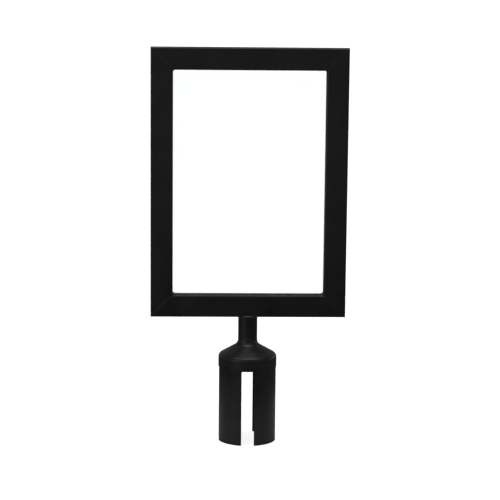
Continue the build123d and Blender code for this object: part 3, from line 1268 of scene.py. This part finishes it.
    def stop_pad(self) -> bpy.types.Object:
        """Makes the rubber washer under the cone, with eased edges.

        Returns:
            The washer.
        """
        low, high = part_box("post_stop_pad")
        outer = high.x
        rise = math.tan(math.radians(self.slope))
        inner = self.hub_radius + self.pad_gap
        drop = (outer - inner) * rise
        thick = (high.z - low.z) - drop
        washer = lathe("stop_washer", [
            (inner, high.z - thick),
            (outer, low.z),
            (outer, low.z + thick),
            (inner, high.z),
        ])
        soften(washer, self.pad_edge, 3)
        return washer


# ---- Studio -------------------------------------------------------------------------------


@dataclass
class Studio:
    """White dome and floor, dim cards that the coat mirrors, two panels and the camera.

    The shades give the room's brightness from straight down, -1, to straight up, 1.
    """

    radius: float = 22.5
    distance: float = 2.30
    elevation: float = 9.656
    azimuth: float = -1.723
    roll: float = 0.541
    lens: float = 127.84
    target: Corner = (0.002078, 0.0, 0.25193)
    shades: tuple[Point, ...] = (
        (-1.0, 0.20),
        (-0.5, 0.07),
        (-0.2, 0.04),
        (-0.03, 0.08),
        (0.1, 0.28),
        (0.3, 0.18),
        (0.5, 0.08),
        (0.82, 0.36),
        (0.93, 1.5),
        (1.0, 2.4),
    )

    def build(self) -> None:
        """Sets the stage."""
        self.dome()
        self.card("near_card", 0.045, 0.27, 0.30)
        self.card("far_card", 1.7, 6.0, 0.30)
        self.panel("left_panel", (-1.6, -1.5, 0.6), 1.6, 4.8)
        self.panel("right_panel", (1.9, 1.1, 0.5), 1.2, 1.4)
        self.world()
        self.camera()
        bpy.context.scene.view_settings.view_transform = "Standard"

    def dome(self) -> None:
        """Makes a white dome on a flat floor at the rim's level."""
        ground = CAD_BOX[0].z
        bpy.ops.object.select_all(action="DESELECT")
        bpy.ops.mesh.primitive_uv_sphere_add(
            segments=64, ring_count=33, radius=self.radius, location=(0.0, 0.0, ground)
        )
        dome = bpy.context.object
        dome.name = "studio_dome"
        with editing(dome):
            bpy.ops.mesh.select_all(action="SELECT")
            bpy.ops.mesh.bisect(
                plane_co=(0.0, 0.0, ground),
                plane_no=(0.0, 0.0, 1.0),
                use_fill=True,
                clear_inner=True,
            )
            bpy.ops.mesh.select_all(action="SELECT")
            bpy.ops.mesh.normals_make_consistent(inside=False)
        dome.data.materials.append(PaleSurround("white_dome").material())
        dome.visible_glossy = False
        dome.visible_diffuse = False
        dome.visible_shadow = False

    def card(self, name: str, inner: float, outer: float, glow: float) -> None:
        """Lays a dim round card on the floor that only the sign's coat mirrors.

        Args:
            name: the card's name.
            inner: the radius of the hole in its middle.
            outer: its radius.
            glow: how bright it is.
        """
        bpy.ops.object.select_all(action="DESELECT")
        bpy.ops.mesh.primitive_circle_add(
            vertices=64,
            radius=outer,
            fill_type="NGON",
            location=(0.0, 0.0, CAD_BOX[0].z - MILLIMETRE),
        )
        card = bpy.context.object
        card.name = name
        with editing(card):
            pick(card, Element.FACE, lambda f: True)
            bpy.ops.mesh.inset(thickness=outer - inner)
            pick(card, Element.FACE, lambda f: len(f.verts) > 4)
            bpy.ops.mesh.delete(type="FACE")
            bpy.ops.mesh.select_all(action="SELECT")
            bpy.ops.mesh.flip_normals()
        card.data.materials.append(PaleSurround(name, (0.0, 0.0, 0.0, 1.0), glow).material())
        card.visible_camera = False
        card.visible_shadow = False

    def panel(self, name: str, place: Corner, side: float, watts: float) -> None:
        """Stands a soft square light that faces the sign.

        Args:
            name: the light's name.
            place: its middle.
            side: its size.
            watts: its power.
        """
        bpy.ops.object.light_add(type="AREA", location=place)
        light = bpy.context.object
        light.name = name
        light.data.shape = "SQUARE"
        light.data.size = side
        light.data.energy = watts
        away = Vector(place) - Vector(self.target)
        light.rotation_euler = away.to_track_quat("Z", "Y").to_euler()
        light.visible_camera = False

    def world(self) -> None:
        """Surrounds the stage with soft light: bright overhead, dim at eye level."""
        world = bpy.data.worlds.new("studio_room")
        world.use_nodes = True
        nodes = world.node_tree.nodes
        links = world.node_tree.links
        nodes.clear()
        way = nodes.new("ShaderNodeTexCoord")
        way.label = "Direction"
        parts = nodes.new("ShaderNodeSeparateXYZ")
        parts.label = "How steep"
        steep = nodes.new("ShaderNodeMapRange")
        steep.label = "From straight down to straight up"
        steep.inputs["From Min"].default_value = -1.0
        shades = nodes.new("ShaderNodeValToRGB")
        shades.label = "Brightness by height"
        ramp = shades.color_ramp
        stops = self.shades
        while len(ramp.elements) < len(stops):
            ramp.elements.new(0.5)
        for element, (height, brightness) in zip(ramp.elements, stops):
            element.position = (height + 1.0) / 2
            element.color = (brightness, brightness, brightness, 1.0)
        room = nodes.new("ShaderNodeBackground")
        room.label = "Soft room"
        output = nodes.new("ShaderNodeOutputWorld")
        output.label = "Room"
        lay_out((None, 0, (way, parts, steep, shades, room, output)))
        links.new(way.outputs["Generated"], parts.inputs["Vector"])
        links.new(parts.outputs["Z"], steep.inputs["Value"])
        links.new(steep.outputs["Result"], shades.inputs["Fac"])
        links.new(shades.outputs["Color"], room.inputs["Color"])
        links.new(room.outputs["Background"], output.inputs["Surface"])
        bpy.context.scene.world = world

    def camera(self) -> None:
        """Stands the camera a little above the sign and looks slightly down at it."""
        azimuth, elevation = math.radians(self.azimuth), math.radians(self.elevation)
        back = Vector((
            math.sin(azimuth) * math.cos(elevation),
            -math.cos(azimuth) * math.cos(elevation),
            math.sin(elevation),
        ))
        place = Vector(self.target) + back * self.distance
        right = Vector((0.0, 0.0, 1.0)).cross(back).normalized()
        up = back.cross(right)
        roll = math.radians(self.roll)
        rolled_right = right * math.cos(roll) + up * math.sin(roll)
        rolled_up = up * math.cos(roll) - right * math.sin(roll)
        bpy.ops.object.camera_add(location=place)
        camera = bpy.context.object
        camera.name = "sign_camera"
        axes = Matrix((rolled_right, rolled_up, back)).transposed()
        camera.rotation_euler = axes.to_euler()
        camera.data.lens = self.lens
        bpy.context.scene.camera = camera


def main() -> None:
    """Builds the studio and the sign frame, one sub-assembly after another."""
    logging.basicConfig(level=logging.INFO, format="%(name)s: %(message)s")
    Studio().build()
    frame_coat = PowderCoat("satin_black_frame_coat").material()
    # The weld coat's shades are paler than the frame's: a painted highlight along the welds and
    # seams, for the light they catch from overhead
    weld_coat = PowderCoat(
        "satin_black_weld_coat_painted_highlight",
        shade=(0.0065, 0.0065, 0.0069, 1.0),
        cloud_shade=(0.0145, 0.0145, 0.0150, 1.0),
        smoothest=0.26,
        roughest=0.40,
        peel_height=0.08 * MILLIMETRE,
    ).material()
    cup_coat = PowderCoat("satin_black_cup_coat").material()
    acrylic = ClearAcrylic("polished_clear_acrylic").material()
    upright_plastic = MattBlack("upright_guide_extrusion", (1.0, 1.0, 0.03)).material()
    level_plastic = MattBlack("level_guide_extrusion", (0.03, 1.0, 1.0)).material()
    rubber = MattBlack("moulded_stop_rubber", (1.0, 1.0, 1.0), roughest=0.85).material()
    BoxSectionFrame(frame_coat, weld_coat).build()
    Glazing(acrylic, upright_plastic, level_plastic).build()
    NeckAndCup(cup_coat, weld_coat, rubber).build()


if __name__ == "__main__":
    main()
